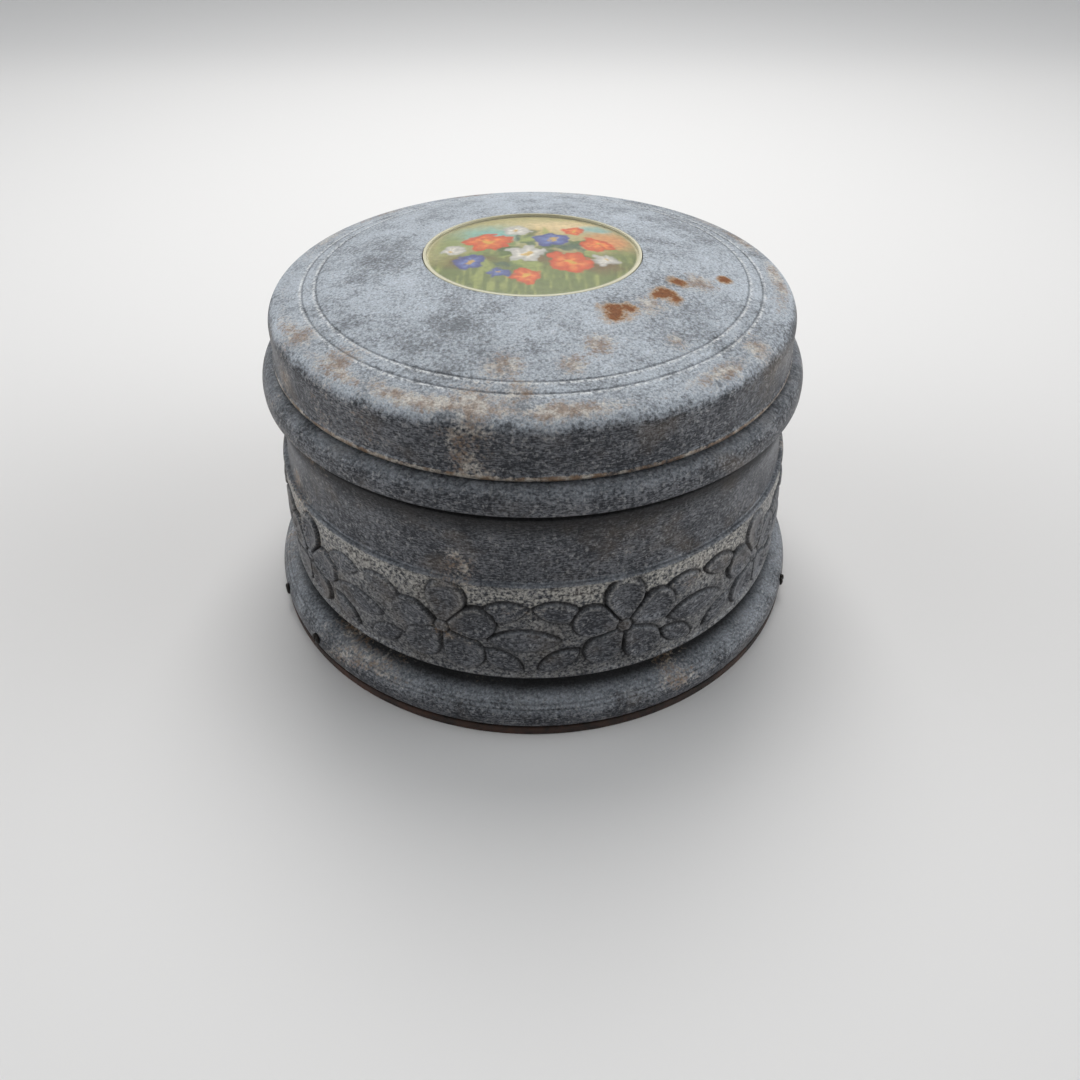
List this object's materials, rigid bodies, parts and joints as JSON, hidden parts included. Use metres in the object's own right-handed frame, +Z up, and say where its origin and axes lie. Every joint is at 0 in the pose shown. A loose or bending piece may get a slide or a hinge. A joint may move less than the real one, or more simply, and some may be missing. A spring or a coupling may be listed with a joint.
{
  "type": "musical powder box",
  "caption": "Round cast-metal powder box with a lift-off domed lid, oval medallion, floral band and a key-wound cylinder music movement in the base.",
  "frame": {"origin": "centre of the foot's lower rim, on the surface the box stands on", "axes": "+Z up along the box's axis, -Y towards the front seen in the picture, +X to the viewer's right"},
  "size_m": [0.116, 0.116, 0.0708],
  "materials": {
    "zinc": "oxidised cast zinc alloy, mottled blue-grey, satin",
    "rusty_steel": "pressed steel with brown rust",
    "dark_steel": "blackened steel",
    "tin": "drawn sheet metal, satin",
    "picture": "printed and painted plate",
    "clear_cover": "clear, slightly yellowed",
    "brass": "satin brass",
    "steel": "bright steel"
  },
  "bodies": {
    "casing": {"body_shell": "zinc", "base_pan": "rusty_steel", "base_screw_1": "dark_steel", "base_screw_2": "dark_steel", "base_screw_3": "dark_steel", "base_screw_4": "dark_steel", "powder_liner": "tin", "bedplate": "brass", "bedplate_screw_1": "steel", "bedplate_screw_2": "steel", "bedplate_screw_3": "steel", "barrel_bridge": "brass", "click_spring": "steel", "click_screw": "steel", "bridge_screw_1": "steel", "bridge_screw_2": "steel", "comb": "steel", "comb_block": "brass", "comb_screw_1": "steel", "comb_screw_2": "steel", "comb_screw_3": "steel", "governor_frame": "brass", "governor_screw_1": "steel", "governor_screw_2": "steel", "lever_pin": "steel", "lever_bracket": "brass", "bracket_screw": "steel"},
    "lid": {"lid_shell": "zinc", "medallion_plaque": "picture", "medallion_cover": "clear_cover"},
    "winding": {"winding_key": "steel", "winding_arbor": "steel", "ratchet_wheel": "steel"},
    "barrel": {"spring_barrel": "brass", "barrel_cover": "brass", "mainspring": "steel"},
    "pinned_cylinder": {"cylinder": "brass", "cylinder_arbor": "steel", "cylinder_pinion": "steel", "cylinder_wheel": "brass"},
    "governor": {"governor_pinion_arbor": "steel", "worm_wheel": "brass"},
    "fly": {"governor_worm": "steel", "fly_vanes": "brass"},
    "stop_rod": {"stop_pin": "steel"},
    "stop_rocker": {"stop_lever": "steel"}
  },
  "joints": [
    {"name": "lid_lift", "type": "slide", "parent": "casing", "child": "lid", "axis": [0, 0, 1], "range_m": [0, 0.09]},
    {"name": "key_turn", "type": "hinge", "parent": "casing", "child": "winding", "pos_m": [0.0175, 0, 0.005], "axis": [0, 0, 1], "continuous": true},
    {"name": "barrel_turn", "type": "hinge", "parent": "casing", "child": "barrel", "pos_m": [0.0175, 0, 0.0187], "axis": [0, 0, 1], "continuous": true},
    {"name": "cylinder_turn", "type": "hinge", "parent": "casing", "child": "pinned_cylinder", "pos_m": [-0.008, 0, 0.01953], "axis": [1, 0, 0], "continuous": true},
    {"name": "governor_turn", "type": "hinge", "parent": "casing", "child": "governor", "pos_m": [-0.0225, 0.00905, 0.01953], "axis": [1, 0, 0], "continuous": true},
    {"name": "fly_turn", "type": "hinge", "parent": "casing", "child": "fly", "pos_m": [-0.0246, 0.01412, 0.02], "axis": [0, 0, 1], "continuous": true},
    {"name": "stop_pin_rise", "type": "slide", "parent": "casing", "child": "stop_rod", "axis": [0, 0, 1], "range_m": [0, 0.002]},
    {"name": "stop_lever_rock", "type": "hinge", "parent": "casing", "child": "stop_rocker", "pos_m": [-0.03421, 0.01975, 0.0255], "axis": [0.5, 0.866, 0], "range_deg": [0, 17.5]}
  ],
  "couplings": [
    {"joint": "cylinder_turn", "follows": "barrel_turn", "ratio": -2.5714},
    {"joint": "governor_turn", "follows": "barrel_turn", "ratio": 9},
    {"joint": "fly_turn", "follows": "barrel_turn", "ratio": -63},
    {"joint": "stop_pin_rise", "follows": "lid_lift", "ratio": 0.022222},
    {"joint": "stop_lever_rock", "follows": "lid_lift", "rad_per_m": 3.3}
  ]
}
